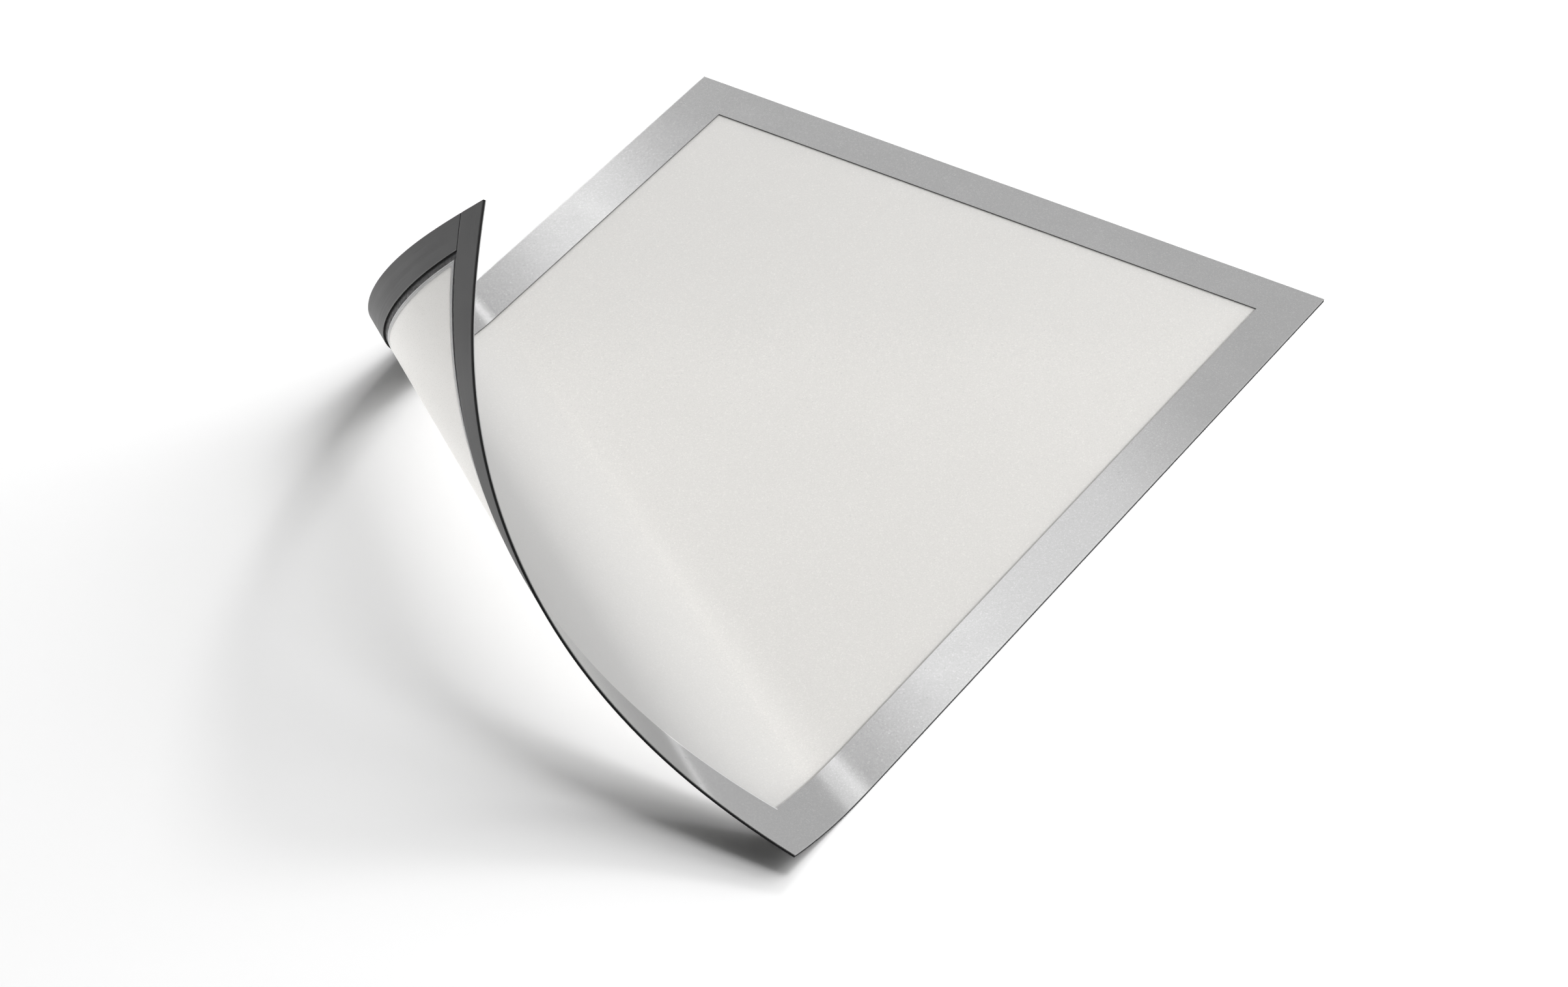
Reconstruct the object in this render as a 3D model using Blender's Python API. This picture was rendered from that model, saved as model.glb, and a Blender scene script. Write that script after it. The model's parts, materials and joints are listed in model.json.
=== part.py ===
"""A magnetic sign frame for one A4 sheet, lying on its magnets with one corner peeled up.

A silver border foil carries a window film behind its opening and four magnet strips along
its edges. The strips hold the frame on a steel board, and the paper lies between them behind
the film. The lower left corner is peeled up along a cone: every bend line runs through one
point beside the frame. The peeled corner is cut into flat spans along nine flex lines, so that it
can be laid flat again, and every span hangs on a hinge that sits on its flex line.

Metres, +Z up. The origin is the middle of the frame's back face, and the top edge is at +Y.
"""
import math

import bmesh
import bpy
from mathutils import Matrix, Vector

# The paper, and the frame around it
PAPER_WIDTH = 0.210
PAPER_HEIGHT = 0.297
RIM_BEYOND_PAPER = 0.013      # frame edge to paper edge, on all four sides
PAPER_PLAY = 0.00075          # paper edge to the magnet strip beside it
BORDER_LAP = 0.003            # how far the silver border covers the paper
FILM_LAP = 0.0014             # how far the film reaches behind the border

# Layer thicknesses, back to front
MAGNET_THICKNESS = 0.0007
BOND_GAP = 0.00005            # glue line between two layers
FILM_THICKNESS = 0.00012
BORDER_THICKNESS = 0.00025
BUTT_GAP = 0.0003             # between the ends of two magnet strips

# The peeled corner
PEEL_TURN = math.radians(124.4)      # how far the corner has turned from flat
PEEL_REACH = 0.1843                  # corner to where the bend begins, up the left edge
PEEL_RISE = 0.3                      # how fast the bend grows tight: 0 at once, 1 slowly
APEX_BESIDE = 0.320                  # the point that all bend lines meet in, left of the corner
APEX_ABOVE = 0.373                   # and above it
OVERCURL = 0.15                      # how much further than shown it can be curled

# Flex lines
LINES_ON_BOTTOM = 8                  # flex lines that cross the bottom edge
LAST_LINE = 0.020                    # peeled corner to the last flex line, along the bottom
SECOND_LINE = 0.020                  # right corner to the second flex line, along the bottom
FIRST_LINE = 0.025                   # right corner to the first flex line, up the right edge
SPAN_CLEARANCE = 0.00015             # left between two spans when they close up most

# Worked out from the sizes above
WIDTH = PAPER_WIDTH + 2 * RIM_BEYOND_PAPER
HEIGHT = PAPER_HEIGHT + 2 * RIM_BEYOND_PAPER
BORDER_WIDTH = RIM_BEYOND_PAPER + BORDER_LAP
MAGNET_WIDTH = RIM_BEYOND_PAPER - PAPER_PLAY
THICKNESS = MAGNET_THICKNESS + BOND_GAP + BORDER_THICKNESS
LEFT, RIGHT = -WIDTH / 2, WIDTH / 2
BOTTOM, TOP = -HEIGHT / 2, HEIGHT / 2
APEX = Vector((LEFT - APEX_BESIDE, BOTTOM + APEX_ABOVE, THICKNESS / 2))

PROFILE_STEPS = 2000
BISECT_TOLERANCE = 1e-7


def clear_scene():
    for obj in list(bpy.data.objects):
        bpy.data.objects.remove(obj, do_unlink=True)


def new_collection(name):
    collection = bpy.data.collections.new(name)
    bpy.context.scene.collection.children.link(collection)
    return collection


def material(name, colour, roughness, metallic):
    mat = bpy.data.materials.new(name)
    mat.use_nodes = True
    shader = mat.node_tree.nodes["Principled BSDF"]
    shader.inputs["Base Color"].default_value = (*colour, 1.0)
    shader.inputs["Roughness"].default_value = roughness
    shader.inputs["Metallic"].default_value = metallic
    return mat


# The bend lines

def line_angle(x, y):
    """Angle below +X of the bend line from the apex through a point of the flat frame."""
    return math.atan2(APEX.y - y, x - APEX.x)


def share_up_left_edge(angle):
    """Where a bend line crosses the left edge: 0 where the bend begins, 1 at the corner."""
    above_corner = APEX_ABOVE - APEX_BESIDE * math.tan(angle)
    return 1 - above_corner / PEEL_REACH


def turn_before(share):
    """Turn between the bend's beginning and a place on the left edge."""
    def tightness(s):
        return s ** PEEL_RISE * (1 - s)

    step = 1 / PROFILE_STEPS
    whole = sum(tightness((i + 0.5) * step) for i in range(PROFILE_STEPS))
    count = round(min(max(share, 0), 1) * PROFILE_STEPS)
    return PEEL_TURN * sum(tightness((i + 0.5) * step) for i in range(count)) / whole


def flex_angles():
    """Bend line angles of the flex lines, from the flat part to the peeled corner."""
    angles = [line_angle(RIGHT, BOTTOM + FIRST_LINE)]
    step = (WIDTH - LAST_LINE - SECOND_LINE) / (LINES_ON_BOTTOM - 1)
    for i in range(LINES_ON_BOTTOM):
        angles.append(line_angle(RIGHT - SECOND_LINE - i * step, BOTTOM))
    return angles


def flex_turns(angles):
    """Turn taken at each flex line: what the bend turns between the spans' middles."""
    places = [share_up_left_edge(a) for a in angles]
    between = [(a + b) / 2 for a, b in zip(places, places[1:])]
    marks = [turn_before(s) for s in [0, *between, 1]]
    return [b - a for a, b in zip(marks, marks[1:])]


def line_frame(angle):
    """Frame on a flex line in the flat frame: X along it to the apex, Y to the corner, Z up."""
    towards_apex = Vector((-math.cos(angle), math.sin(angle), 0))
    towards_corner = Vector((-math.sin(angle), -math.cos(angle), 0))
    start = APEX_BESIDE / math.cos(angle)
    to_bottom = APEX_ABOVE / math.sin(angle)
    to_right = (APEX_BESIDE + WIDTH) / math.cos(angle)
    middle = APEX - towards_apex * (start + min(to_bottom, to_right)) / 2
    rows = zip(towards_apex, towards_corner, (0, 0, 1), middle)
    return Matrix([list(row) for row in rows] + [[0, 0, 0, 1]])


def half_gap(turn):
    """Half the gap at a flex line, so that the fronts of two spans clear at the tightest curl."""
    closing = THICKNESS / 2 * math.tan(turn * (1 + OVERCURL) / 2)
    return SPAN_CLEARANCE / 2 + closing


# The flat pieces

def plate(x_range, y_range, z_range):
    """A flat rectangular plate."""
    size = [b - a for a, b in (x_range, y_range, z_range)]
    middle = [(a + b) / 2 for a, b in (x_range, y_range, z_range)]
    bm = bmesh.new()
    bmesh.ops.create_cube(bm, size=1)
    bmesh.ops.scale(bm, vec=size, verts=bm.verts)
    bmesh.ops.translate(bm, vec=middle, verts=bm.verts)
    return bm


def add_object(name, bm, collection, mat=None):
    mesh = bpy.data.meshes.new(name)
    bm.to_mesh(mesh)
    bm.free()
    obj = bpy.data.objects.new(name, mesh)
    if mat:
        mesh.materials.append(mat)
    collection.objects.link(obj)
    return obj


def border_ring(cutters):
    """The silver border foil laid flat, with its window cut out."""
    back = THICKNESS - BORDER_THICKNESS
    foil = add_object("border_blank", plate((LEFT, RIGHT), (BOTTOM, TOP), (back, THICKNESS)), cutters)
    inner_x = (LEFT + BORDER_WIDTH, RIGHT - BORDER_WIDTH)
    inner_y = (BOTTOM + BORDER_WIDTH, TOP - BORDER_WIDTH)
    window = add_object("window_cutter", plate(inner_x, inner_y, (0, 2 * THICKNESS)), cutters)
    for cutter in (foil, window):
        cutter.hide_render = True
        cutter.display_type = "WIRE"
    cut = foil.modifiers.new("window", "BOOLEAN")
    cut.operation = "DIFFERENCE"
    cut.solver = "EXACT"
    cut.object = window
    depsgraph = bpy.context.evaluated_depsgraph_get()
    mesh = bpy.data.meshes.new_from_object(foil.evaluated_get(depsgraph))
    bm = bmesh.new()
    bm.from_mesh(mesh)
    bpy.data.meshes.remove(mesh)
    return bm


def window_film():
    inset = BORDER_WIDTH - FILM_LAP
    front = THICKNESS - BORDER_THICKNESS - BOND_GAP
    return plate((LEFT + inset, RIGHT - inset), (BOTTOM + inset, TOP - inset),
                 (front - FILM_THICKNESS, front))


def magnet_strips():
    """Top and bottom strips run from side to side, and the side strips stand between them."""
    z_range = (0, MAGNET_THICKNESS)
    side_y = (BOTTOM + MAGNET_WIDTH + BUTT_GAP, TOP - MAGNET_WIDTH - BUTT_GAP)
    return {
        "top_magnet": plate((LEFT, RIGHT), (TOP - MAGNET_WIDTH, TOP), z_range),
        "bottom_magnet": plate((LEFT, RIGHT), (BOTTOM, BOTTOM + MAGNET_WIDTH), z_range),
        "left_magnet": plate((LEFT, LEFT + MAGNET_WIDTH), side_y, z_range),
        "right_magnet": plate((RIGHT - MAGNET_WIDTH, RIGHT), side_y, z_range),
    }


# Cutting a flat piece into spans

def trim(bm, frame, offset, keep_corner_side):
    """Cut a piece along a flex line, shifted by offset, and close the cut."""
    normal = frame.col[1].to_3d()
    point = frame.col[3].to_3d() + normal * offset
    geometry = list(bm.verts) + list(bm.edges) + list(bm.faces)
    bmesh.ops.bisect_plane(bm, geom=geometry, dist=BISECT_TOLERANCE, plane_co=point, plane_no=normal,
                           clear_inner=keep_corner_side, clear_outer=not keep_corner_side)
    open_edges = [edge for edge in bm.edges if edge.is_boundary]
    if open_edges:
        bmesh.ops.holes_fill(bm, edges=open_edges, sides=0)


def span_of(bm, number, frames, turns):
    """Copy of a flat piece between flex line `number` and the next one; 0 is the flat part."""
    span = bm.copy()
    if number > 0:
        trim(span, frames[number - 1], half_gap(turns[number - 1]), True)
    if number < len(frames) and span.faces:
        trim(span, frames[number], -half_gap(turns[number]), False)
    bmesh.ops.recalc_face_normals(span, faces=span.faces)
    return span


def separate(bm):
    """Split a piece into its separate bodies, ordered from left to right."""
    bodies = []
    left_over = set(bm.verts)
    while left_over:
        body = set()
        edge_of_body = [left_over.pop()]
        while edge_of_body:
            vert = edge_of_body.pop()
            body.add(vert)
            near = {e.other_vert(vert) for e in vert.link_edges} & left_over
            left_over -= near
            edge_of_body.extend(near)
        indices = {v.index for v in body}
        copy = bm.copy()
        others = [v for v in copy.verts if v.index not in indices]
        bmesh.ops.delete(copy, geom=others, context="VERTS")
        bodies.append(copy)
    bodies.sort(key=lambda b: sum(v.co.x for v in b.verts) / len(b.verts))
    return bodies


# The frame, put together

def add_flex_empties(collection, frames, turns):
    """A chain of hinge frames on the flex lines, each turned from the one before by the peel."""
    empties = []
    for number, (frame, turn) in enumerate(zip(frames, turns), 1):
        empty = bpy.data.objects.new(f"flex_{number}", None)
        collection.objects.link(empty)
        local = frame @ Matrix.Rotation(turn, 4, "X")
        if empties:
            empty.parent = empties[-1]
            local = frames[number - 2].inverted() @ local
        empty.matrix_local = local
        empties.append(empty)
    return empties


def add_span(name, bm, number, frames, empties, collection, mat):
    """Make one span's solid, hung on its flex line's hinge. The flat part hangs on nothing."""
    if number:
        bm.transform(frames[number - 1].inverted())
    obj = add_object(name, bm, collection, mat)
    if number:
        obj.parent = empties[number - 1]


def border_names(number, count):
    if number == 0:
        return ["silver_border"]
    if count == 1:
        return [f"border_corner_flex_{number}"]
    return [f"border_left_flex_{number}", f"border_bottom_flex_{number}"]


def build():
    clear_scene()
    collection = new_collection("magnetic_sign_frame")
    cutters = new_collection("cutters")
    silver = material("silver_foil", (0.42, 0.42, 0.42), 0.38, 0.7)
    milky = material("window_film", (0.76, 0.75, 0.73), 0.45, 0.0)
    rubber = material("magnet_rubber", (0.075, 0.077, 0.08), 0.6, 0.0)

    angles = flex_angles()
    turns = flex_turns(angles)
    frames = [line_frame(angle) for angle in angles]
    empties = add_flex_empties(collection, frames, turns)

    border = border_ring(cutters)
    film = window_film()
    strips = magnet_strips()
    for number in range(len(frames) + 1):
        bodies = separate(span_of(border, number, frames, turns))
        for name, body in zip(border_names(number, len(bodies)), bodies):
            add_span(name, body, number, frames, empties, collection, silver)
        singles = [("window_film", film, milky)]
        singles += [(name, strip, rubber) for name, strip in strips.items()]
        for name, whole, mat in singles:
            span = span_of(whole, number, frames, turns)
            if not span.faces:
                span.free()
                continue
            span_name = f"{name}_flex_{number}" if number else name
            add_span(span_name, span, number, frames, empties, collection, mat)
    for bm in (border, film, *strips.values()):
        bm.free()
    bpy.context.view_layer.update()


build()
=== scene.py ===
# %% [markdown]
# # A magnetic sign frame with a peeled corner
#
# The object is a thin laminate that holds one A4 sheet on a steel board: a silver border foil
# on the front, a milky window film behind its opening, and four strips of magnetic rubber on
# the back. It lies on a table with its lower left corner peeled up and curled over, so its front
# and its back both show.
#
# The plan is the one that a maker would follow. The flat layers are made first, stacked, scored
# with many fine fold lines, and then folded a little at every line, which bends the whole stack
# as one. Afterwards the stack is taken apart again, into one piece for each stretch between two
# hinges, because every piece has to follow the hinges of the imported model.

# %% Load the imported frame
import bisect
import json
import math

import bmesh
import bpy
from mathutils import Matrix, Vector


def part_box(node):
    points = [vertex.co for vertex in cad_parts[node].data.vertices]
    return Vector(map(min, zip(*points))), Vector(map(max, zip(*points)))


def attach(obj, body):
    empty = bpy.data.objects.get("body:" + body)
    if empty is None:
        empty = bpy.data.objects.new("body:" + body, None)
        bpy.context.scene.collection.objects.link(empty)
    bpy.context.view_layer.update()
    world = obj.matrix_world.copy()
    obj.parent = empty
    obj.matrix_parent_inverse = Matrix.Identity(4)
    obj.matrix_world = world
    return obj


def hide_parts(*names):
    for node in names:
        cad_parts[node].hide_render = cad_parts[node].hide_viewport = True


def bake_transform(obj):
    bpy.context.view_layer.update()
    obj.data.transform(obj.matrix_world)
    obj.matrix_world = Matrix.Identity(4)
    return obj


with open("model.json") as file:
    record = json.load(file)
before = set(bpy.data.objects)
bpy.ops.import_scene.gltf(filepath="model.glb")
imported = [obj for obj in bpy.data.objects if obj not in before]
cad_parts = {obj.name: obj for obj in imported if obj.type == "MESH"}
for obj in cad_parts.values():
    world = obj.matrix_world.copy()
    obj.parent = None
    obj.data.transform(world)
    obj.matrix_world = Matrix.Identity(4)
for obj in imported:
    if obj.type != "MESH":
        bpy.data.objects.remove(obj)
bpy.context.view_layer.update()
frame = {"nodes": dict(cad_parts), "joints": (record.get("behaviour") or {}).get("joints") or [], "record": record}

# %% [markdown]
# ## The sizes
#
# The frame was made by another script, and its nodes say how wide, high and thick everything
# is. Reading the sizes from the nodes keeps the looks and the solids alike: if a strip were
# ever made wider there, it would be wider here too. Only what no node shows is listed here.

# %% Sizes of the flat stack, in metres
border_low, border_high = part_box("silver_border")
strip_low, strip_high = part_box("top_magnet")
film_low, film_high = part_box("window_film")

LEFT, RIGHT = strip_low[0], strip_high[0]
TOP = strip_high[1]
BOTTOM = -TOP
THICKNESS = border_high[2]
FOIL_BACK = border_low[2]
FILM_BACK, FILM_FRONT = film_low[2], film_high[2]
STRIP_FRONT = strip_high[2]
STRIP_WIDTH = TOP - strip_low[1]
FILM_INSET = TOP - film_high[1]
FILM_LAP = 0.0014              # how far the film reaches behind the border
BORDER_WIDTH = FILM_INSET + FILM_LAP
BUTT_GAP = 0.0003              # between the ends of two strips
STRIP_EDGE = 0.00008           # worn edge of a cut strip
print(f"{RIGHT - LEFT:.3f} x {TOP - BOTTOM:.3f} x {THICKNESS:.5f} m, border {BORDER_WIDTH:.4f} m")

# %% [markdown]
# ## The bend
#
# A thin sheet can't stretch, so a peeled corner always bends along straight lines. Here they
# all run through one point beside the frame, the apex, as on the side of a cone. Two things
# describe the bend: where that point is, and how much the sheet has turned on the way from the
# place where the bend begins to the corner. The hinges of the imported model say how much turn
# each stretch takes, and the flat pose is the lower end of each hinge's range.

# %% The apex, and how the turn is spread
APEX_BESIDE = 0.320            # the apex is left of the peeled corner by this
APEX_ABOVE = 0.373             # and above it by this
PEEL_REACH = 0.1843            # corner to the place where the bend begins, up the left edge
PEEL_RISE = 0.3                # how fast the bend grows tight: 0 at once, 1 slowly
PROFILE_STEPS = 2000

APEX = Vector((LEFT - APEX_BESIDE, BOTTOM + APEX_ABOVE, THICKNESS / 2))
hinges = {joint["name"]: joint for joint in frame["joints"]}
HINGES = [hinges[f"flex_{k}"] for k in range(1, len(hinges) + 1)]
hinge_turns = [math.radians(-hinge["range_deg"][0]) for hinge in HINGES]
PEEL_TURN = sum(hinge_turns)


def tightness(share):
    return share ** PEEL_RISE * (1 - share)


turn_table = [0.0]
for step in range(PROFILE_STEPS):
    turn_table.append(turn_table[-1] + tightness((step + 0.5) / PROFILE_STEPS))
turn_table = [PEEL_TURN * turn / turn_table[-1] for turn in turn_table]
print("whole turn in degrees:", round(math.degrees(PEEL_TURN), 1))


# %% Places on the bend
def share_of(x, y):
    """Where the bend line through a flat point crosses the left edge.

    It is 0 where the bend begins and 1 at the corner.
    """
    slope = (APEX.y - y) / (x - APEX.x)
    return 1 - (APEX_ABOVE - APEX_BESIDE * slope) / PEEL_REACH


def share_at_turn(turn):
    """The place on the left edge by which the sheet has turned this much."""
    after = min(max(bisect.bisect_left(turn_table, turn), 1), PROFILE_STEPS)
    low, high = turn_table[after - 1], turn_table[after]
    return (after - 1 + (turn - low) / (high - low)) / PROFILE_STEPS


def bend_line(share):
    """Two directions in the flat sheet: along a bend line to the apex, and across it."""
    slope = (APEX_ABOVE - PEEL_REACH * (1 - share)) / APEX_BESIDE
    along = Vector((-1, slope, 0)).normalized()
    across = Vector((-slope, -1, 0)).normalized()
    return along, across


# %% [markdown]
# ## Fold lines and marks
#
# A real sheet bends everywhere at once. A mesh can only fold along its edges, so the curve is
# made of many small folds. Spacing them by equal turn, and not by equal width, puts many lines
# where the curl is tight and few where it is gentle. The marks are other lines, halfway through
# the turn between two hinges, where the stack is cut apart later. No fold lies on a mark, so
# both sides of such a cut are flat and the cut can't be seen.

# %% Work out folds and marks
FOLD_TURN = math.radians(1.0)

marks = [0.0]
folds = []
turned = 0.0
for turn in hinge_turns:
    count = math.ceil(turn / FOLD_TURN)
    for i in range(count):
        folds.append((share_at_turn(turned + (i + 0.5) * turn / count), turn / count))
    turned += turn
    marks.append(share_at_turn(turned))
print(len(folds), "folds, marks at", [round(mark, 3) for mark in marks])


# %% [markdown]
# ## The camera
#
# A long lens from nearly two metres away, looking down over the lower right corner. Its place
# and its lens were fitted to the straight edges of the frame in the photograph.

# %% Make the camera
CAMERA_PLACE = Vector((0.8078, -1.2746, 1.1822))
CAMERA_AIM = Vector((0.0234, -0.0144, 0.0))
CAMERA_ROLL = math.radians(0.1)
LENS = 141.25                  # millimetres, on film 36 mm wide

camera_data = bpy.data.cameras.new("camera")
camera_data.lens = LENS
camera_data.sensor_width = 36
camera_data.clip_start = 0.05
camera = bpy.data.objects.new("camera", camera_data)
bpy.context.scene.collection.objects.link(camera)
camera.location = CAMERA_PLACE
look = (CAMERA_AIM - CAMERA_PLACE).to_track_quat("-Z", "Y").to_matrix()
camera.rotation_euler = (look @ Matrix.Rotation(CAMERA_ROLL, 3, "Z")).to_euler()
bpy.context.scene.camera = camera
print("camera is", round((CAMERA_AIM - CAMERA_PLACE).length, 3), "m from the frame")


# %% [markdown]
# ## Nodes in few words
#
# Every finish below is made of nodes. Each node is added with its settings and with what goes
# into it: a number or a colour is set on the socket, and another node's output is joined to it.
# The patterns read a UV map that holds each point's place in the flat sheet, in metres, so that
# they stay on the sheet when it bends. A scale of 1000 in such a pattern means one cell per mm.

# %% Helpers for nodes
def new_material(name):
    mat = bpy.data.materials.new(name)
    mat.use_nodes = True
    mat.node_tree.nodes.clear()
    return mat


def add_node(mat, kind, sockets=None, **settings):
    """Add a node. sockets gives each input a plain value, or an output to join to it."""
    node = mat.node_tree.nodes.new("ShaderNode" + kind)
    for name, value in settings.items():
        setattr(node, name, value)
    for key, value in (sockets or {}).items():
        if isinstance(value, bpy.types.NodeSocket):
            mat.node_tree.links.new(value, node.inputs[key])
        else:
            node.inputs[key].default_value = value
    return node


def maths(mat, operation, a, b=0.0):
    return add_node(mat, "Math", {0: a, 1: b}, operation=operation).outputs[0]


def ramp(mat, value, low, high, out_low=0.0, out_high=1.0):
    """A soft step: out_low below low, out_high above high."""
    node = add_node(mat, "MapRange", {"Value": value, "From Min": low, "From Max": high,
                                      "To Min": out_low, "To Max": out_high},
                    interpolation_type="SMOOTHSTEP")
    return node.outputs["Result"]


def mix_colours(mat, share, a, b):
    node = add_node(mat, "Mix", {0: share, 6: a, 7: b}, data_type="RGBA")
    return node.outputs[2]


def grey(level, warm=0.0):
    """A grey, a little warmer or cooler."""
    return (level * (1 + warm), level * (1 + 0.3 * warm), level * (1 - warm), 1.0)


def show(mat, shader):
    add_node(mat, "OutputMaterial", {"Surface": shader})


# %% Places on the sheet for nodes
def place_on_sheet(mat, stretch=(1, 1, 1)):
    """The flat place, stretched so that a pattern comes out long or short along x or y."""
    flat = add_node(mat, "UVMap", uv_map="flat").outputs["UV"]
    return add_node(mat, "Mapping", {"Vector": flat, "Scale": stretch}).outputs["Vector"]


def depth_inside(mat, half_width, half_height):
    """How far a place lies inside a rectangle round the middle of the sheet."""
    flat = add_node(mat, "SeparateXYZ", {"Vector": place_on_sheet(mat)})
    from_side = maths(mat, "SUBTRACT", half_width, maths(mat, "ABSOLUTE", flat.outputs["X"]))
    from_end = maths(mat, "SUBTRACT", half_height, maths(mat, "ABSOLUTE", flat.outputs["Y"]))
    return maths(mat, "MINIMUM", from_side, from_end)


def noise(mat, scale, stretch=(1, 1, 1), detail=3.0):
    """Cloudy noise between about 0.3 and 0.7; scale is in patches per metre."""
    node = add_node(mat, "TexNoise", {"Vector": place_on_sheet(mat, stretch), "Scale": scale,
                                      "Detail": detail}, noise_dimensions="2D")
    return node.outputs["Fac"]


SPARKLE_CELLS = (0.91, 0.93)    # random value from which a cell is a brighter dot, a painted sparkle
SPARKLE_DOT = 0.9               # times the reach of the other cells
LOOSE_FLAKES = (0.965, 0.97)   # random value from which a flake is loose
LOOSE_LEAN = 10                # times as far as the others


def speckled(mat, colour, cells, reach):
    """Give each small cell its own brightness, up to half of reach lighter or darker.

    About one cell in twelve is a brighter dot, a painted sparkle.
    """
    cell = add_node(mat, "TexVoronoi", {"Vector": place_on_sheet(mat), "Scale": cells},
                    voronoi_dimensions="2D").outputs["Color"]
    value = add_node(mat, "SeparateColor", {"Color": cell}).outputs["Green"]
    centred = maths(mat, "SUBTRACT", value, 0.5)
    level = maths(mat, "ADD", maths(mat, "MULTIPLY", centred, reach), 1.0)
    # painted sparkle: a few cells are made brighter
    sparkle = maths(mat, "MULTIPLY", ramp(mat, value, *SPARKLE_CELLS), SPARKLE_DOT * reach)
    level = maths(mat, "ADD", level, sparkle)
    return add_node(mat, "VectorMath", {0: colour, "Scale": level}, operation="SCALE").outputs[0]


def flake_normal(mat, cells, tilt):
    """A normal that leans a little in another direction in each small cell, like foil flakes.

    One flake in thirty leans ten times as far.
    """
    cell = add_node(mat, "TexVoronoi", {"Vector": place_on_sheet(mat), "Scale": cells},
                    voronoi_dimensions="2D").outputs["Color"]
    loose = add_node(mat, "SeparateColor", {"Color": cell}).outputs["Blue"]
    reach = ramp(mat, loose, *LOOSE_FLAKES, tilt, LOOSE_LEAN * tilt)
    lean = add_node(mat, "VectorMath", {0: cell, 1: (0.5, 0.5, 0.5)}, operation="SUBTRACT")
    lean = add_node(mat, "VectorMath", {0: lean.outputs[0], "Scale": reach}, operation="SCALE")
    straight = add_node(mat, "NewGeometry").outputs["Normal"]
    total = add_node(mat, "VectorMath", {0: straight, 1: lean.outputs[0]}, operation="ADD")
    return add_node(mat, "VectorMath", {0: total.outputs[0]}, operation="NORMALIZE").outputs[0]


# %% [markdown]
# ## The silver foil
#
# The front of the border is a metallised plastic foil with a satin lacquer. Metal shows what is
# around it, so its brightness is its colour times the brightness of the room, and the clear
# lacquer on top mirrors the lamps as well. A Principled shader has both: a metallic base with
# its own roughness, and a coat.
#
# The metal is broken into tiny flakes. A Voronoi texture gives each small cell a random colour,
# which is used twice: to lean the cell's normal a little, and to make it a little lighter or
# darker. A painted highlight makes the foil's outer edge a little lighter. Its inner walls are
# a darker copy of the foil's core, a painted shade where they meet the film. On the lower side
# the photograph shows a light hairline instead, where light falls on the cut; it is painted
# here, so it stays when the light changes.

# %% Foil finishes
def make_silver_front():
    mat = new_material("silver_front")
    cloud = noise(mat, 60, detail=4)
    depth = depth_inside(mat, RIGHT, TOP)
    # painted highlight: the foil's outer edge is made lighter
    rim_highlight = ramp(mat, depth, *RIM_HIGHLIGHT, 1, 0)
    colour = mix_colours(mat, cloud, grey(FOIL_GREY * 0.97), grey(FOIL_GREY * 1.03))
    up = add_node(mat, "SeparateXYZ", {"Vector": place_on_sheet(mat)}).outputs["Y"]
    window_edge = BOTTOM + BORDER_WIDTH
    hairline = maths(mat, "MULTIPLY",
                     ramp(mat, depth, BORDER_WIDTH - HAIRLINE[1], BORDER_WIDTH - HAIRLINE[0]),
                     ramp(mat, up, window_edge, window_edge + 0.0001, 1, 0))
    light = maths(mat, "MAXIMUM", maths(mat, "MULTIPLY", rim_highlight, RIM_HIGHLIGHT_SHARE),
                  maths(mat, "MULTIPLY", hairline, HAIRLINE_SHARE))
    colour = mix_colours(mat, light, colour, grey(HIGHLIGHT_GREY))
    colour = speckled(mat, colour, SPECKLE_CELLS, FOIL_SPECKLE)
    roughness = maths(mat, "ADD", maths(mat, "MULTIPLY", cloud, FOIL_CLOUDS),
                      FOIL_ROUGHNESS - FOIL_CLOUDS / 2)
    shader = add_node(mat, "BsdfPrincipled", {
        "Base Color": colour, "Metallic": 0.85, "Roughness": roughness,
        "Normal": flake_normal(mat, FLAKE_CELLS, FLAKE_TILT),
        "Coat Weight": 1.0, "Coat Roughness": LACQUER_ROUGHNESS, "Coat IOR": 1.5})
    show(mat, shader.outputs[0])
    return mat


def make_plain_foil(name, colour, roughness, speckle):
    """The other faces of the foil, with a faint speckle."""
    mat = new_material(name)
    cloud = noise(mat, 900)
    tint = mix_colours(mat, cloud, grey(colour * (1 - speckle)), grey(colour * (1 + speckle)))
    bump = add_node(mat, "Bump", {"Height": cloud, "Strength": 0.2, "Distance": 0.00003})
    shader = add_node(mat, "BsdfPrincipled", {
        "Base Color": tint, "Roughness": maths(mat, "ADD", cloud, roughness - 0.5),
        "Normal": bump.outputs["Normal"]})
    show(mat, shader.outputs[0])
    return mat


FOIL_GREY = 0.36
FOIL_ROUGHNESS = 0.13
FOIL_CLOUDS = 0.06             # how much the roughness varies in soft patches
LACQUER_ROUGHNESS = 0.12
FLAKE_CELLS = 2600             # flakes per metre
FLAKE_TILT = 0.003
SPECKLE_CELLS = 2800           # grains per metre
FOIL_SPECKLE = 0.08
RIM_HIGHLIGHT = (0.0001, 0.0004)    # painted highlight up to the first distance from the edge, none after the second
RIM_HIGHLIGHT_SHARE = 0.15
HAIRLINE = (0.0004, 0.0005)    # width of the light line at the window's lower edge, inner and outer
HAIRLINE_SHARE = 0.9
HIGHLIGHT_GREY = 0.75             # colour of both painted highlights
silver_front = make_silver_front()
foil_core = make_plain_foil("foil_core", 0.32, 0.45, 0.1)
# painted shade: the foil's inner walls get a darker copy of its core
foil_inner_shade = make_plain_foil("foil_inner_shade", 0.10, 0.6, 0.2)
foil_back = make_plain_foil("foil_back", 0.032, 0.5, 0.2)
print("foil finishes:", [mat.name for mat in (silver_front, foil_core, foil_inner_shade, foil_back)])
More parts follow.
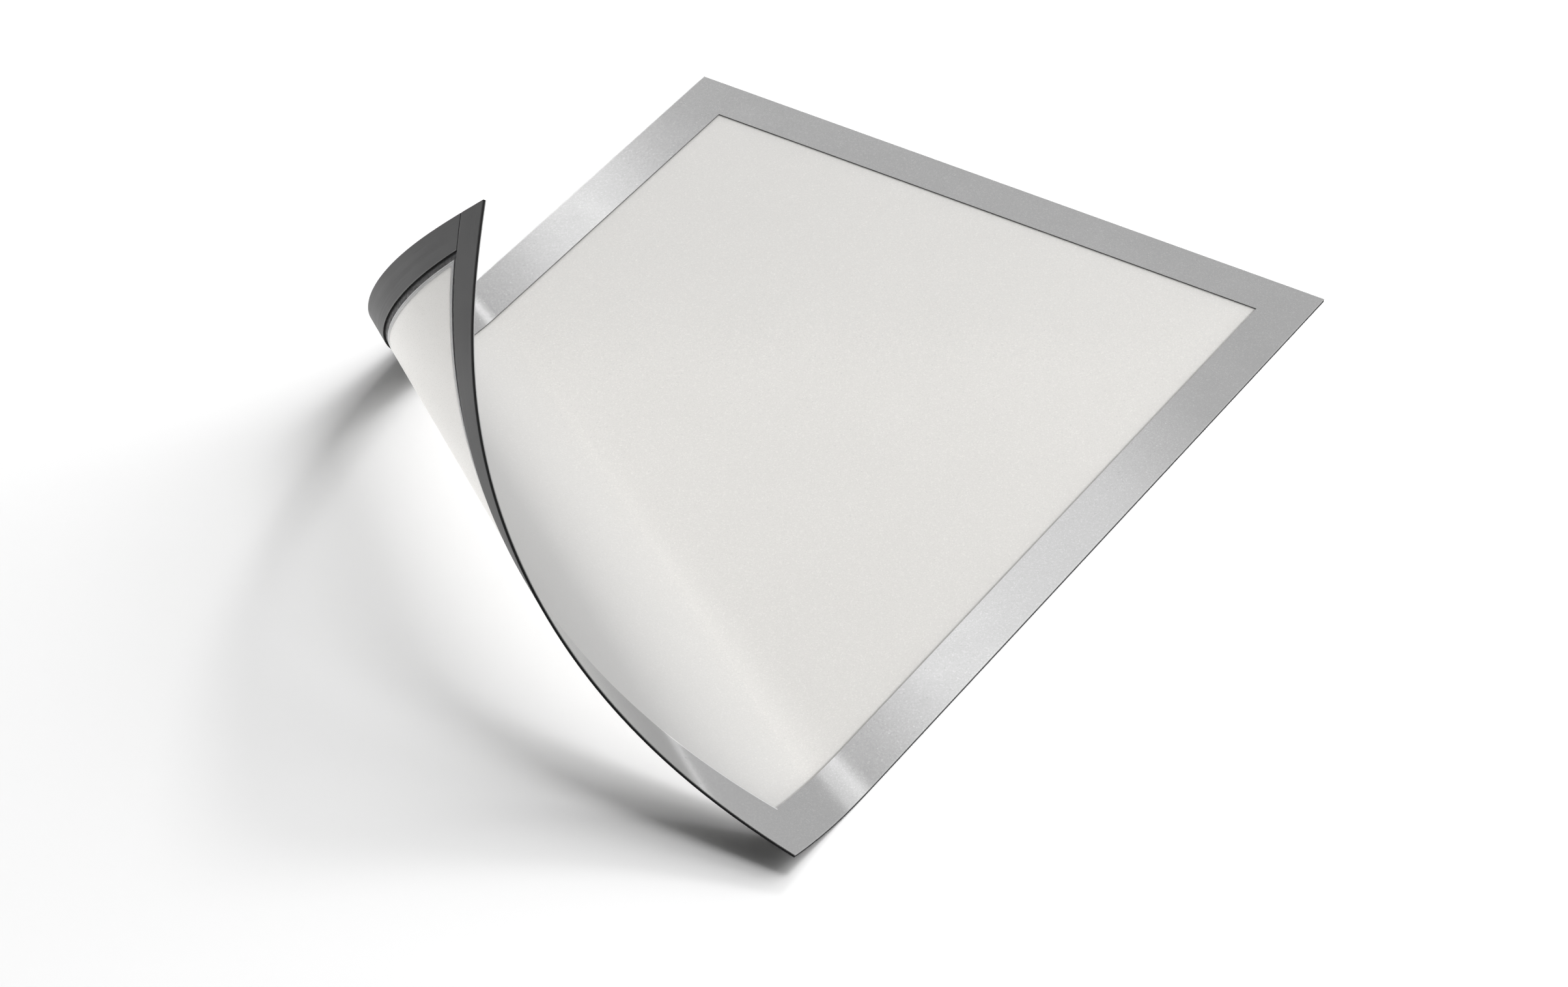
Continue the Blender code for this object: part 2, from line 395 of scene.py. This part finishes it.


# %% [markdown]
# ## The milky film
#
# The window is a clear plastic film with a matt embossing, so it scatters light: some comes
# back, and some goes on to the other side. That is a mix of a diffuse shader and a Translucent
# one, which shows the light from behind. The film has two skins with nothing between them, so
# only the outer side of each skin scatters, and its inner side is clear.
#
# The shadow of such a film is very light. Rays that look for a lamp, and rays that gather the
# light of the room, are therefore let through, and fewer of them where they meet the film at a
# slant, because their way through it is longer. The embossing shines when it is seen at a slant,
# so a rough Glossy layer is mixed in by a Layer Weight node. The angle at which that starts was
# fitted to one photograph, so it is a guess for other views. Random cells make fine grains,
# with a painted sparkle here and there.
#
# A painted shadow, a thin dark line and a soft shade, runs along the foil's inner edge, where
# the foil stands a little above the film. On the back, the film's lap on the foil is painted as a
# lighter band, in place of the light that the foil keeps from it, with a thin dark line.

# %% Film finishes
def make_film_skin(name, back):
    mat = new_material(name)
    cloud = noise(mat, 25, detail=5)
    grain = noise(mat, 1800, detail=2)
    level = FILM_BACK_GREY if back else FILM_FRONT_GREY
    colour = mix_colours(mat, cloud, grey(level * 0.985, FILM_WARMTH),
                         grey(level * 1.015, FILM_WARMTH))
    through = FILM_THROUGH
    colour = speckled(mat, colour, SPECKLE_CELLS, BACK_SPECKLE if back else FRONT_SPECKLE)
    depth = depth_inside(mat, RIGHT - FILM_INSET, TOP - FILM_INSET)
    if back:
        # painted light: the lap is made lighter in place of the light that the foil keeps from it
        lap = ramp(mat, depth, FILM_LAP * 0.9, FILM_LAP * 1.1, 1, 0)
        colour = mix_colours(mat, lap, colour, grey(LAP_LIGHT_GREY))
        through = maths(mat, "MULTIPLY", maths(mat, "SUBTRACT", 1.0, lap), FILM_THROUGH)
        # a thin dark line on the lap
        line = maths(mat, "MULTIPLY", ramp(mat, depth, *LAP_LINE_FROM),
                     ramp(mat, depth, *LAP_LINE_TO, 1, 0))
        colour = mix_colours(mat, maths(mat, "MULTIPLY", line, LAP_LINE_SHARE), colour,
                             grey(LAP_LINE_GREY))
    else:
        # painted shadow beside the foil's inner edge: a soft shade and a dark line, wider on the right
        shade = ramp(mat, depth, FILM_LAP, FILM_LAP + EDGE_SHADE_WIDTH, 1, 0)
        line = ramp(mat, depth, FILM_LAP + SHADOW_LINE_WIDTH * 0.7, FILM_LAP + SHADOW_LINE_WIDTH, 1, 0)
        flat = add_node(mat, "SeparateXYZ", {"Vector": place_on_sheet(mat)}).outputs
        right_edge = RIGHT - BORDER_WIDTH
        right_shadow = ramp(mat, flat["X"], right_edge - SHADOW_LINE_RIGHT,
                          right_edge - SHADOW_LINE_RIGHT * 0.8)
        edge_shadow = maths(mat, "MAXIMUM", maths(mat, "MULTIPLY", SHADE_SHARE, shade),
                     maths(mat, "MULTIPLY", SHADOW_LINE_SHARE, line))
        edge_shadow = maths(mat, "MAXIMUM", edge_shadow, maths(mat, "MULTIPLY", RIGHT_SHADOW_SHARE, right_shadow))
        above_bottom = ramp(mat, flat["Y"], BOTTOM + BORDER_WIDTH, BOTTOM + BORDER_WIDTH + 0.001)
        colour = mix_colours(mat, maths(mat, "MULTIPLY", edge_shadow, above_bottom), colour,
                             grey(EDGE_SHADOW_GREY))
    tilted = flake_normal(mat, FILM_CELLS, FILM_TILT)
    bump = add_node(mat, "Bump", {"Height": grain, "Strength": 0.25, "Distance": 0.00004,
                                  "Normal": tilted})
    reflected = add_node(mat, "BsdfPrincipled", {
        "Base Color": colour, "Roughness": maths(mat, "ADD", grain, FILM_ROUGHNESS - 0.5),
        "Normal": bump.outputs["Normal"], "Specular IOR Level": 0.5})
    passed = add_node(mat, "BsdfTranslucent", {"Color": grey(0.85, FILM_WARMTH)})
    both = add_node(mat, "MixShader", {0: through, 1: reflected.outputs[0], 2: passed.outputs[0]})
    if not back:
        seen_flat = add_node(mat, "LayerWeight", {"Blend": 0.5, "Normal": tilted}).outputs["Facing"]
        gloss = add_node(mat, "BsdfGlossy", {"Color": grey(FILM_GLOSS),
                                             "Roughness": GLOSS_ROUGHNESS})
        beyond = maths(mat, "DIVIDE", maths(mat, "SUBTRACT", seen_flat, SHEEN_STARTS), SHEEN_RUN)
        beyond = maths(mat, "MINIMUM", maths(mat, "MAXIMUM", beyond, 0.0), 1.0)
        sheen = maths(mat, "MULTIPLY", maths(mat, "SQRT", beyond), FILM_SHEEN)
        both = add_node(mat, "MixShader", {0: sheen, 1: both.outputs[0], 2: gloss.outputs[0]})
    slant = add_node(mat, "LayerWeight", {"Blend": 0.5}).outputs["Facing"]
    dimmed = maths(mat, "POWER", maths(mat, "SUBTRACT", 1.0, slant), FILM_DIMS)
    path = add_node(mat, "LightPath").outputs
    lighting = maths(mat, "MAXIMUM", path["Is Shadow Ray"], path["Is Diffuse Ray"])
    shadow = maths(mat, "MULTIPLY", lighting, maths(mat, "MULTIPLY", dimmed, FILM_LETS_THROUGH))
    inside = add_node(mat, "NewGeometry").outputs["Backfacing"]
    clear = add_node(mat, "BsdfTransparent")
    share = maths(mat, "MAXIMUM", shadow, inside)
    skin = add_node(mat, "MixShader", {0: share, 1: both.outputs[0], 2: clear.outputs[0]})
    show(mat, skin.outputs[0])
    return mat


FILM_FRONT_GREY = 0.62
FILM_BACK_GREY = 0.60
FRONT_SPECKLE, BACK_SPECKLE = 0.10, 0.04
FILM_WARMTH = 0.022
FILM_ROUGHNESS = 0.45
FILM_THROUGH = 0.35            # share of the light that goes on to the other side
FILM_LETS_THROUGH = 0.95       # of a lamp's light that meets it squarely
FILM_DIMS = 2.5                # how fast that drops when the light meets it at a slant
FILM_CELLS = 1900              # cells of the embossing per metre
FILM_TILT = 0.01
FILM_SHEEN = 0.80              # most gloss on the embossing, seen at a slant
SHEEN_STARTS = 0.395           # 0 seen square on, 1 seen edge on; fitted to the photograph
SHEEN_RUN = 0.25               # from there to the most
FILM_GLOSS = 0.56              # colour of that gloss
GLOSS_ROUGHNESS = 0.5
EDGE_SHADE_WIDTH = 0.0014            # painted soft shade beside the foil's inner edge
SHADOW_LINE_WIDTH = 0.00035            # and the painted dark shadow line right at it
SHADOW_LINE_RIGHT = 0.0008       # which is wider along the right edge
SHADE_SHARE, SHADOW_LINE_SHARE, RIGHT_SHADOW_SHARE = 0.35, 0.75, 0.6
# colour of the painted shadow
EDGE_SHADOW_GREY = 0.1
LAP_LIGHT_GREY = 0.97                # the film's back where it laps on the foil, painted lighter in place of the light the foil keeps from it
LAP_LINE_FROM = (0.00050, 0.00056)    # the thin dark line on the lap: its soft start
LAP_LINE_TO = (0.00064, 0.00070)      # and its soft end, from the film's edge
LAP_LINE_SHARE, LAP_LINE_GREY = 0.5, 0.2
film_front = make_film_skin("film_front", back=False)
film_back = make_film_skin("film_back", back=True)
print("film finishes:", film_front.name, film_back.name)


# %% [markdown]
# ## The magnetic rubber
#
# The strips are ferrite powder in rubber, rolled out and cut. The rolled faces are dark grey,
# with fine streaks along the strip and a painted highlight along their long edges, and they
# shine when seen flat along them. The streaks need a direction, so the strips have a second UV
# map, with the way along the strip first and the way across it second.
#
# The cut sides are nearly black. The face is also painted darker beside the ends of the side
# strips, which makes the butt joints read as thin lines, and along the lower edge of the bottom strip.

# %% Rubber finishes
def make_rubber_face():
    mat = new_material("rubber_face")
    along = add_node(mat, "UVMap", uv_map="along").outputs["UV"]
    streaks = add_node(mat, "Mapping", {"Vector": along, "Scale": STREAKS}).outputs[0]
    streak = add_node(mat, "TexNoise", {"Vector": streaks, "Scale": 1.0, "Detail": 4.0},
                      noise_dimensions="2D").outputs["Fac"]
    cloud = noise(mat, 45, detail=4)
    level = maths(mat, "ADD", maths(mat, "MULTIPLY", streak, STREAK_SHARE),
                  maths(mat, "MULTIPLY", cloud, 1 - STREAK_SHARE))
    colour = mix_colours(mat, ramp(mat, level, 0.3, 0.7), grey(RUBBER_GREY * 0.85),
                         grey(RUBBER_GREY * 1.15))
    across = add_node(mat, "SeparateXYZ", {"Vector": along}).outputs["Y"]
    # painted highlight along the long edges of the face
    edge_highlight = ramp(mat, maths(mat, "ABSOLUTE", across), STRIP_WIDTH / 2 - EDGE_HIGHLIGHT[1],
                  STRIP_WIDTH / 2 - EDGE_HIGHLIGHT[0])
    colour = mix_colours(mat, maths(mat, "MULTIPLY", edge_highlight, EDGE_HIGHLIGHT_SHARE), colour,
                         grey(EDGE_HIGHLIGHT_GREY))
    lengthwise = add_node(mat, "SeparateXYZ", {"Vector": along}).outputs["X"]
    # darker beside the ends of the side strips and along the lower edge of the bottom strip
    side_strip_end = TOP - STRIP_WIDTH - BUTT_GAP
    cut_end = ramp(mat, maths(mat, "ABSOLUTE", lengthwise), side_strip_end - DARK_END[1],
                   side_strip_end - DARK_END[0])
    up = add_node(mat, "SeparateXYZ", {"Vector": place_on_sheet(mat)}).outputs["Y"]
    lower_edge = ramp(mat, up, BOTTOM + DARK_EDGE[0], BOTTOM + DARK_EDGE[1], 1, 0)
    colour = mix_colours(mat, maths(mat, "MAXIMUM", cut_end, lower_edge), colour,
                         grey(DARK_RUBBER))
    bump = add_node(mat, "Bump", {"Height": streak, "Strength": 0.3, "Distance": 0.00004})
    shader = add_node(mat, "BsdfPrincipled", {
        "Base Color": colour, "Roughness": ramp(mat, level, 0.3, 0.7, 0.42, 0.55),
        "Normal": bump.outputs["Normal"]})
    show(mat, shader.outputs[0])
    return mat


def make_rubber_side():
    mat = new_material("rubber_side")
    crumbs = noise(mat, 2500, detail=3)
    colour = mix_colours(mat, crumbs, grey(0.006), grey(0.014))
    bump = add_node(mat, "Bump", {"Height": crumbs, "Strength": 0.4, "Distance": 0.00004})
    shader = add_node(mat, "BsdfPrincipled", {
        "Base Color": colour, "Roughness": ramp(mat, crumbs, 0.3, 0.7, 0.7, 0.9),
        "Normal": bump.outputs["Normal"], "Specular IOR Level": 0.2})
    show(mat, shader.outputs[0])
    return mat


RUBBER_GREY = 0.085
STREAKS = (12, 1400, 1)        # per metre, along and across the strip
STREAK_SHARE = 0.7             # of the pattern; the rest is soft patches
EDGE_HIGHLIGHT = (0.0001, 0.0004)       # painted highlight up to the first distance, none after the second
EDGE_HIGHLIGHT_SHARE, EDGE_HIGHLIGHT_GREY = 0.35, 0.4
DARK_END = (0.0002, 0.0003)    # dark beside the ends of the side strips, in the same way
DARK_EDGE = (0.0004, 0.0006)   # and beside the lower edge
DARK_RUBBER = 0.008
rubber_face = make_rubber_face()
rubber_side = make_rubber_side()
print("rubber finishes:", rubber_face.name, rubber_side.name)


# %% [markdown]
# ## Helpers for working by hand
#
# The mesh tools act on whatever is selected, so each step first says what it works on.

# %% Selecting
def work_on(obj):
    """Select one object and enter edit mode with nothing selected."""
    if bpy.context.object and bpy.context.object.mode != "OBJECT":
        bpy.ops.object.mode_set(mode="OBJECT")
    bpy.ops.object.select_all(action="DESELECT")
    obj.select_set(True)
    bpy.context.view_layer.objects.active = obj
    bpy.ops.object.mode_set(mode="EDIT")
    bpy.ops.mesh.select_all(action="DESELECT")


def finish_work():
    bpy.ops.object.mode_set(mode="OBJECT")


def pick_faces(obj, wanted):
    """Select the faces of the mesh in edit mode for which wanted(face) is true."""
    mesh = bmesh.from_edit_mesh(obj.data)
    for face in mesh.faces:
        face.select_set(wanted(face))
    bmesh.update_edit_mesh(obj.data)


def give_slots(obj, finishes):
    """Give an object in edit mode its materials: a list of (material, test of a face) pairs."""
    for slot, (mat, wanted) in enumerate(finishes):
        obj.data.materials.append(mat)
        obj.active_material_index = slot
        if slot:
            pick_faces(obj, wanted)
            bpy.ops.object.material_slot_assign()


def flat_block(name, x_range, y_range, z_range):
    """A flat block between the given sides."""
    bpy.ops.object.select_all(action="DESELECT")
    middle = [sum(pair) / 2 for pair in (x_range, y_range, z_range)]
    size = [pair[1] - pair[0] for pair in (x_range, y_range, z_range)]
    bpy.ops.mesh.primitive_cube_add(size=1, location=middle)
    block = bpy.context.object
    block.name = name
    block.scale = size
    bpy.ops.object.transform_apply(location=True, rotation=True, scale=True)
    return block


# %% [markdown]
# ## The silver border foil
#
# One sheet with a window cut out. An inset of a rectangle gives the border its even width, the
# inner face is deleted, and the ring that is left is extruded to the foil's thickness.

# %% Make the foil
def is_inner_wall(face):
    middle = face.calc_center_median()
    return abs(middle.x) < RIGHT - BORDER_WIDTH / 2 and abs(middle.y) < TOP - BORDER_WIDTH / 2


def make_foil():
    bpy.ops.object.select_all(action="DESELECT")
    bpy.ops.mesh.primitive_plane_add(size=1, location=(0, 0, FOIL_BACK))
    foil = bpy.context.object
    foil.scale = (RIGHT - LEFT, TOP - BOTTOM, 1)
    bpy.ops.object.transform_apply(location=True, rotation=True, scale=True)
    work_on(foil)
    bpy.ops.mesh.select_all(action="SELECT")
    bpy.ops.mesh.inset(thickness=BORDER_WIDTH)
    bpy.ops.mesh.delete(type="FACE")
    bpy.ops.mesh.select_all(action="SELECT")
    bpy.ops.mesh.extrude_region_move(
        TRANSFORM_OT_translate={"value": (0, 0, THICKNESS - FOIL_BACK)})
    bpy.ops.mesh.select_all(action="SELECT")
    bpy.ops.mesh.normals_make_consistent(inside=False)
    give_slots(foil, [
        (silver_front, None),
        (foil_back, lambda face: face.normal.z < -0.5),
        (foil_core, lambda face: abs(face.normal.z) < 0.5),
        # painted shade on the inner walls
        (foil_inner_shade, lambda face: abs(face.normal.z) < 0.5 and is_inner_wall(face)),
    ])
    finish_work()
    return foil


foil = make_foil()
print("foil:", len(foil.data.polygons), "faces")


# %% [markdown]
# ## The window film
#
# A thin flat block, a little larger than the window, so that it laps behind the foil all round.
# Its front face alone gets the front finish; the back finish covers the back and the thin edge,
# because those are what is seen from behind.

# %% Make the film
def make_film():
    film = flat_block("film", (LEFT + FILM_INSET, RIGHT - FILM_INSET),
                      (BOTTOM + FILM_INSET, TOP - FILM_INSET), (FILM_BACK, FILM_FRONT))
    work_on(film)
    give_slots(film, [(film_back, None), (film_front, lambda face: face.normal.z > 0.5)])
    finish_work()
    return film


film = make_film()
print("film:", [round(v, 4) for v in film.dimensions])


# %% [markdown]
# ## The magnet strips
#
# Each strip is a flat block with a very small bevel, because a cut in rubber is never quite
# sharp. The top and bottom strips run the whole width, and the side strips fit between them with
# a hair of room at each end, as they would be laid by hand.

# %% Make the strips
def make_strip(name, x_range, y_range):
    strip = flat_block(name, x_range, y_range, (0, STRIP_FRONT))
    work_on(strip)
    bpy.ops.mesh.select_all(action="SELECT")
    bpy.ops.mesh.bevel(offset=STRIP_EDGE, segments=1, affect="EDGES")
    give_slots(strip, [(rubber_face, None), (rubber_side, lambda face: abs(face.normal.z) < 0.5)])
    finish_work()
    return strip


side_y = (BOTTOM + STRIP_WIDTH + BUTT_GAP, TOP - STRIP_WIDTH - BUTT_GAP)
strips = {
    "top_strip": make_strip("top_strip", (LEFT, RIGHT), (TOP - STRIP_WIDTH, TOP)),
    "bottom_strip": make_strip("bottom_strip", (LEFT, RIGHT), (BOTTOM, BOTTOM + STRIP_WIDTH)),
    "left_strip": make_strip("left_strip", (LEFT, LEFT + STRIP_WIDTH), side_y),
    "right_strip": make_strip("right_strip", (RIGHT - STRIP_WIDTH, RIGHT), side_y),
}
print("strips:", list(strips))


# %% [markdown]
# ## Stack, score and fold
#
# The layers are glued together on the real object, so they bend as one. Joining them into one
# mesh makes sure of that. Before it bends, every face writes down which layer it belongs to, and
# every corner writes down its flat place in a UV map, for the patterns and for the cuts later.
#
# Scoring is the bisect tool: a plane through the apex cuts new edges across the whole stack.
# Folding goes from the corner back to the start of the bend. Everything beyond a line is turned
# about it, and as the lines behind it are still flat, each fold needs no more than its flat line.

# %% Join the layers and remember where each face was
layers = {"foil": foil, "film": film, **strips}
LAYER_NAMES = list(layers)


def remember_flat_place(obj, number):
    """Write the layer's number on its faces, and the flat place of each corner as UV maps."""
    mesh = obj.data
    while mesh.uv_layers:
        mesh.uv_layers.remove(mesh.uv_layers[0])
    middle = (Vector(obj.bound_box[0]) + Vector(obj.bound_box[6])) / 2
    upright = obj.dimensions.y > obj.dimensions.x
    flat = mesh.uv_layers.new(name="flat")
    along = mesh.uv_layers.new(name="along")
    for loop in mesh.loops:
        place = mesh.vertices[loop.vertex_index].co
        x, y = (place - middle).xy
        flat.data[loop.index].uv = place.xy
        along.data[loop.index].uv = (y, x) if upright else (x, y)
    layer = mesh.attributes.new("layer", "INT", "FACE")
    layer.data.foreach_set("value", [number] * len(mesh.polygons))


for number, obj in enumerate(layers.values()):
    remember_flat_place(obj, number)
bpy.ops.object.select_all(action="DESELECT")
for obj in layers.values():
    obj.select_set(True)
bpy.context.view_layer.objects.active = foil
bpy.ops.object.join()
stack = foil
print("stack:", len(stack.data.vertices), "points")

# %% Score every fold line and mark
work_on(stack)
for share in sorted([fold[0] for fold in folds] + marks[:-1]):
    _, across = bend_line(share)
    bpy.ops.mesh.select_all(action="SELECT")
    bpy.ops.mesh.bisect(plane_co=APEX, plane_no=across, threshold=1e-7)
finish_work()
print("scored stack:", len(stack.data.vertices), "points")

# %% Fold, from the corner back to the start of the bend
flat_shares = [share_of(vert.co.x, vert.co.y) for vert in stack.data.vertices]
ON_THE_LINE = 1e-5
work_on(stack)
bpy.context.tool_settings.mesh_select_mode = (True, False, False)
for share, turn in reversed(folds):
    mesh = bmesh.from_edit_mesh(stack.data)
    for vert, place in zip(mesh.verts, flat_shares):
        vert.select = place > share + ON_THE_LINE
    along, across = bend_line(share)
    axes = Matrix((along, across, (0, 0, 1))).transposed()
    bpy.ops.transform.rotate(value=turn, orient_axis="X", orient_type="GLOBAL",
                             orient_matrix=axes, orient_matrix_type="GLOBAL",
                             constraint_axis=(True, False, False), center_override=APEX)
finish_work()
print("folded; highest point", round(max(v.co.z for v in stack.data.vertices), 4))


# %% [markdown]
# ## Take the stack apart
#
# A piece may bend over one hinge only, so each layer is cut at the marks. The faces of one layer
# between two marks are separated, and the open ends are filled to close the piece. The faces on
# both sides of a mark lie in one plane, so smooth shading has nothing to show there.

# %% Separate one piece for each layer and span
def span_of_face(face, flat_uv):
    u = sum(loop[flat_uv].uv.x for loop in face.loops) / len(face.loops)
    v = sum(loop[flat_uv].uv.y for loop in face.loops) / len(face.loops)
    return bisect.bisect_right(marks[:-1], share_of(u, v))


def split_off(layer, span):
    """Take one layer's faces of one span off the stack, as a closed piece of their own."""
    work_on(stack)
    bpy.context.tool_settings.mesh_select_mode = (False, False, True)
    mesh = bmesh.from_edit_mesh(stack.data)
    numbers = mesh.faces.layers.int["layer"]
    flat_uv = mesh.loops.layers.uv["flat"]
    pick_faces(stack, lambda face: face[numbers] == layer and span_of_face(face, flat_uv) == span)
    if not stack.data.total_face_sel:
        finish_work()
        return None
    bpy.ops.mesh.separate(type="SELECTED")
    finish_work()
    piece = [obj for obj in bpy.context.selected_objects if obj != stack][0]
    piece.name = f"{LAYER_NAMES[layer]}_{span}" if span else LAYER_NAMES[layer]
    piece.data.name = piece.name
    work_on(piece)
    bpy.context.tool_settings.mesh_select_mode = (False, True, False)
    bpy.ops.mesh.select_non_manifold()
    if piece.data.total_edge_sel:
        bpy.ops.mesh.fill_holes(sides=0)
    finish_work()
    bpy.ops.object.select_all(action="DESELECT")
    piece.select_set(True)
    bpy.context.view_layer.objects.active = piece
    bpy.ops.object.shade_smooth_by_angle(angle=SHARP_ANGLE)
    return piece


SHARP_ANGLE = math.radians(25)

pieces = {}
for layer in range(len(LAYER_NAMES)):
    for span in range(len(marks)):
        piece = split_off(layer, span)
        if piece:
            pieces[LAYER_NAMES[layer], span] = piece
print(len(pieces), "pieces; left on the stack:", len(stack.data.polygons), "faces")
bpy.data.objects.remove(stack)


# %% [markdown]
# ## Hang the flat pieces on the flat body
#
# The flat pieces ride the flat body. The bent pieces stay where the folding left them and hang
# on no body. Each piece hides the nodes of the imported model that it stands for.


bodies = frame["record"]["behaviour"]["bodies"]
NODE_PREFIXES = {
    "foil": ("silver_border", "border_"),
    "film": ("window_film",),
    "top_strip": ("top_magnet",),
    "bottom_strip": ("bottom_magnet",),
    "left_strip": ("left_magnet",),
    "right_strip": ("right_magnet",),
}
replaced = set()
for (layer, span), piece in pieces.items():
    body = f"bend_{span}" if span else "flat_part"
    if span:
        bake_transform(piece)
    else:
        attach(piece, body)
    nodes = [n for n in bodies[body] if n.startswith(NODE_PREFIXES[layer])]
    if nodes:
        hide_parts(*nodes)
        replaced.update(nodes)
missing = sorted(set(frame["nodes"]) - replaced)
print("nodes that no piece replaces:", missing)

# %% [markdown]
# ## Floor and light
#
# The object lies on a white table in a bright studio. The floor is a plain white diffuse paint,
# and the light is just strong enough that it comes out as white, while the shadow stays.
#
# The shadows say where the light comes from. They fall to the front left, and there are two of
# them, so there are two small lamps: the key, high up behind, and a lower one further round.
# A wide lamp in the same direction makes the broad soft shade under the curl. The foil doesn't
# mirror these three: Visible in Glossy Rays is off, since its streak has a lamp of its own.

# %% Floor
FLOOR_SIZE = 8.0
FLOOR_WHITE = 0.95

bpy.ops.object.select_all(action="DESELECT")
bpy.ops.mesh.primitive_plane_add(size=FLOOR_SIZE, location=(0, 0, 0))
floor = bpy.context.object
floor.name = "floor"


def make_floor_paint():
    mat = new_material("floor_paint")
    show(mat, add_node(mat, "BsdfDiffuse", {"Color": grey(FLOOR_WHITE)}).outputs[0])
    return mat


floor.data.materials.append(make_floor_paint())

# %% Lamps
def add_lamp(name, place, aim, size, power, long_way=None, width=None):
    """A flat lamp that faces a point: a disc, or a bar whose long way is given."""
    lamp = bpy.data.lights.new(name, "AREA")
    lamp.shape = "RECTANGLE" if long_way else "DISK"
    lamp.size = size
    lamp.energy = power
    obj = bpy.data.objects.new(name, lamp)
    bpy.context.scene.collection.objects.link(obj)
    back = (Vector(place) - Vector(aim)).normalized()
    side = Vector(long_way or (1, 0, 0))
    side = (side - side.dot(back) * back).normalized()
    if long_way:
        lamp.size_y = width
    turn = Matrix((side, back.cross(side), back)).transposed()
    obj.matrix_world = Matrix.Translation(place) @ turn.to_4x4()
    obj.visible_camera = False
    return obj


def add_round_lamp(name, towards, distance, degrees, light):
    """A round lamp that looks so wide from the frame; light is 1 if it alone makes paper white."""
    towards = Vector(towards).normalized()
    size = 2 * distance * math.tan(math.radians(degrees / 2))
    power = light * math.pi ** 2 * distance ** 2 / towards.z
    lamp = add_lamp(name, CURL_MIDDLE + towards * distance, CURL_MIDDLE, size, power)
    lamp.visible_glossy = False


CURL_MIDDLE = Vector((-0.05, -0.10, 0.03))
ROUND_LAMPS = [                # name, where it comes from, metres away, degrees wide, light
    ("key", (0.296, 0.355, 1.0), 3.0, 20, 0.28),
    ("back", (-0.12, 1.43, 1.0), 3.0, 8, 0.12),
    ("window", (0.35, 0.74, 0.55), 2.6, 45, 0.32),
]
for lamp_settings in ROUND_LAMPS:
    add_round_lamp(*lamp_settings)

# %% [markdown]
# The bar is placed by the law of reflection. The streak runs through two places on the border.
# The camera sees the lamp there, mirrored in the sheet, so the lamp lies on the mirrored sight
# line from the middle of the streak, and its long way lies in the plane of that line and the
# streak.

# %% The bar lamp and the box beside it
STREAK_ENDS = (Vector((0.110, -0.058, THICKNESS)), Vector((-0.110, 0.0745, THICKNESS)))
MIRROR_DISTANCE = 2.0
BAR_SIZE = (0.60, 0.08)
BAR_BRIGHTNESS = 1.55          # times a white wall
BOX_SIZE = (0.20, 0.13)
BOX_BRIGHTNESS = 0.85
BOX_PLACE = (0.18, 0.115)      # from the middle of the bar, along it and across it

streak_middle = (STREAK_ENDS[0] + STREAK_ENDS[1]) / 2
streak_way = STREAK_ENDS[0] - STREAK_ENDS[1]
sight = (streak_middle - CAMERA_PLACE).normalized()
mirrored = Vector((sight.x, sight.y, -sight.z))
bar_middle = streak_middle + mirrored * MIRROR_DISTANCE


def brightness_power(brightness, size):
    """The power of a flat lamp that looks so bright; 1 is as bright as a white wall."""
    return brightness * math.pi * size[0] * size[1]


bar = add_lamp("bar", bar_middle, streak_middle, BAR_SIZE[0],
               brightness_power(BAR_BRIGHTNESS, BAR_SIZE),
               long_way=streak_way, width=BAR_SIZE[1])
along_bar, across_bar = [bar.matrix_world.col[i].xyz.normalized() for i in (0, 1)]
box_middle = bar_middle + along_bar * BOX_PLACE[0] + across_bar * BOX_PLACE[1]
add_lamp("box", box_middle, box_middle - mirrored, BOX_SIZE[0],
         brightness_power(BOX_BRIGHTNESS, BOX_SIZE),
         long_way=along_bar, width=BOX_SIZE[1])
print("bar lamp stands", round(bar_middle.z, 2), "m above the table")

# %% [markdown]
# The room's light comes mostly from behind the object, as from a long window, and is brightest
# near the horizon there. The camera sees plain white all round. Mirrors see white walls, which
# are a little darker low down.

# %% The room
ROOM_LIGHT = 0.03
WINDOW_LIGHT = 2.0
WALL_LOW = 0.75                # what mirrors see at the height of the table
WALL_HIGH = 0.92               # and higher up
WALL_TURNS = 0.6               # how far up a mirrored ray points where it meets the high part
WINDOW_TURN = math.radians(65)
WINDOW_SIDE = (math.cos(WINDOW_TURN), math.sin(WINDOW_TURN), 0)

world = bpy.data.worlds.new("studio")
world.use_nodes = True
nodes, links = world.node_tree.nodes, world.node_tree.links
room = nodes["Background"]
room.inputs["Color"].default_value = (1, 1, 1, 1)
towards = nodes.new("ShaderNodeTexCoord").outputs["Generated"]
facing = nodes.new("ShaderNodeVectorMath")
facing.operation = "DOT_PRODUCT"
facing.inputs[1].default_value = WINDOW_SIDE
links.new(towards, facing.inputs[0])
window = nodes.new("ShaderNodeMapRange")
window.inputs["To Min"].default_value = ROOM_LIGHT
window.inputs["To Max"].default_value = ROOM_LIGHT + WINDOW_LIGHT
links.new(facing.outputs["Value"], window.inputs["Value"])
height = nodes.new("ShaderNodeSeparateXYZ")
links.new(towards, height.inputs[0])
wall = nodes.new("ShaderNodeMapRange")
wall.inputs["From Max"].default_value = WALL_TURNS
wall.inputs["To Min"].default_value = WALL_LOW
wall.inputs["To Max"].default_value = WALL_HIGH
links.new(height.outputs["Z"], wall.inputs["Value"])
path = nodes.new("ShaderNodeLightPath")
mirror = nodes.new("ShaderNodeMapRange")
links.new(path.outputs["Is Glossy Ray"], mirror.inputs["Value"])
links.new(window.outputs["Result"], mirror.inputs["To Min"])
links.new(wall.outputs["Result"], mirror.inputs["To Max"])
level = nodes.new("ShaderNodeMapRange")
level.inputs["To Max"].default_value = 1.0
links.new(path.outputs["Is Camera Ray"], level.inputs["Value"])
links.new(mirror.outputs["Result"], level.inputs["To Min"])
links.new(level.outputs["Result"], room.inputs["Strength"])
bpy.context.scene.world = world
bpy.context.scene.view_settings.view_transform = "Standard"
